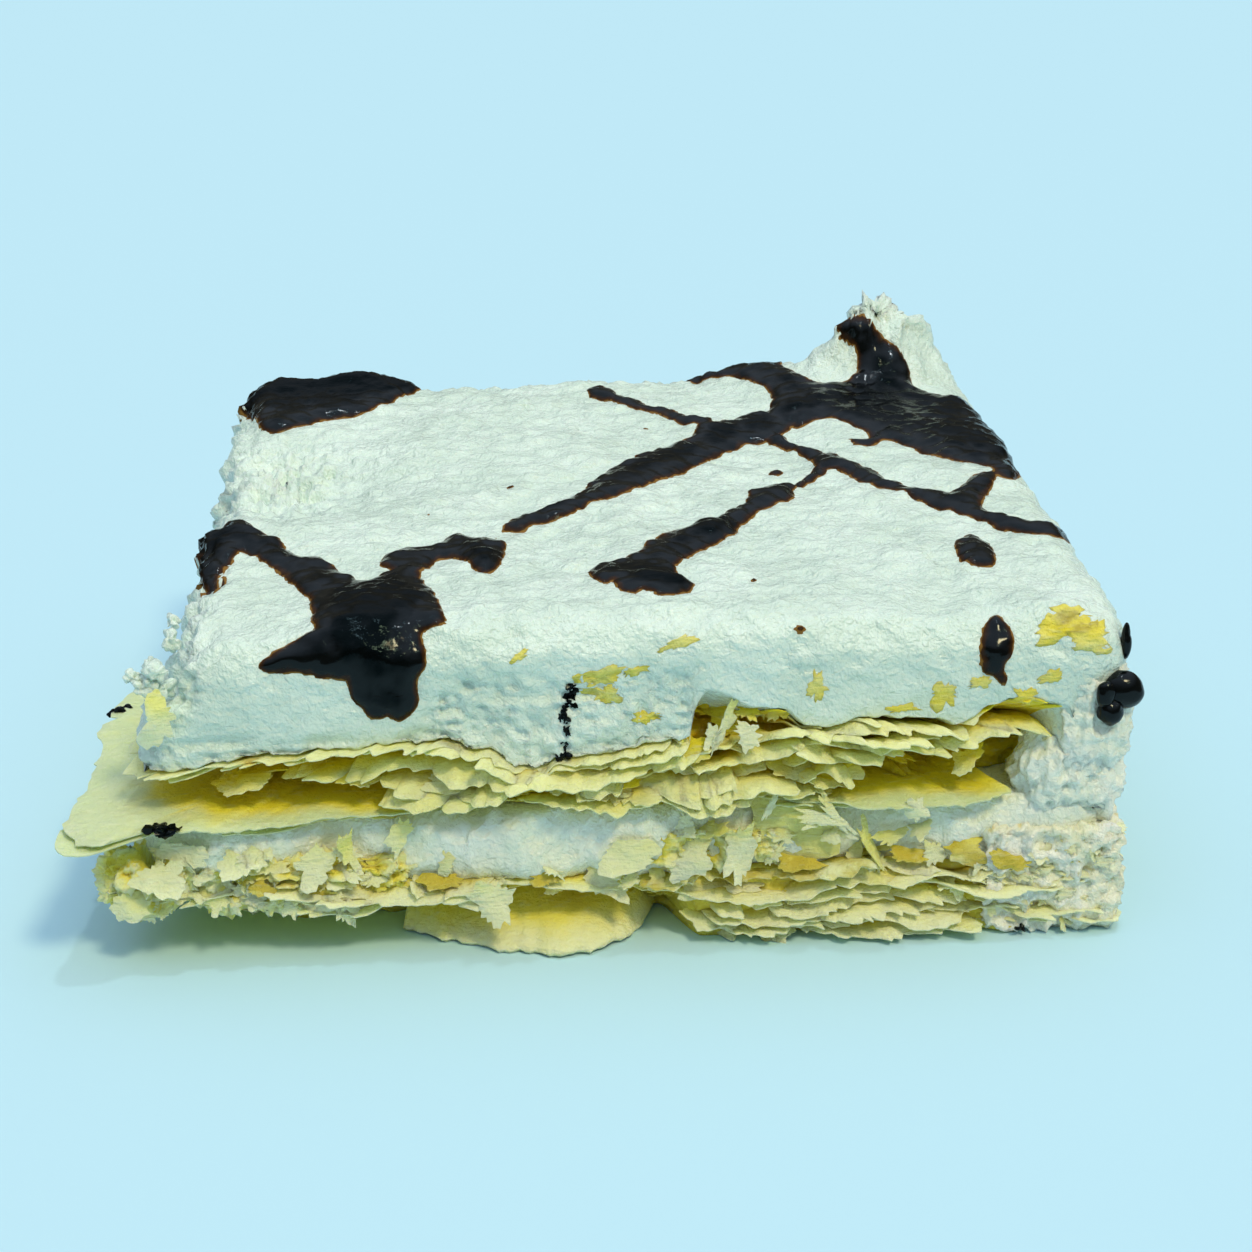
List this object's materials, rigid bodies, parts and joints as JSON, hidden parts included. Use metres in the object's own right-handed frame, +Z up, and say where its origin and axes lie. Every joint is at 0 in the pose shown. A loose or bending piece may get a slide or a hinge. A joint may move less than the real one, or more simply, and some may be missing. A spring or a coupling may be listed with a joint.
{
  "type": "mille feuille slice",
  "caption": "Slice of layered puff pastry with a cream filling, a thick cream topping and a dark chocolate drizzle.",
  "frame": {"origin": "middle of the slice's bounding box, on the surface it lies on", "axes": "+X along the long cut face, to the right seen from the front; +Y towards the back; +Z up out of the topping"},
  "size_m": [0.1152, 0.0987, 0.0508],
  "materials": {
    "browned_pastry": "baked puff pastry, dry and flaky, browned on its top leaf",
    "filling_cream": "soft whipped cream, moist",
    "pastry": "pale yellow puff pastry leaves, dry and thin",
    "topping_cream": "whipped cream with a finely grained, lightly dried surface",
    "chocolate": "set chocolate sauce, near black and glossy, brown where thin"
  },
  "bodies": {
    "root": {"lower_pastry": "browned_pastry", "cream_filling": "filling_cream", "upper_pastry": "pastry", "cream_topping": "topping_cream"}
  },
  "joints": []
}
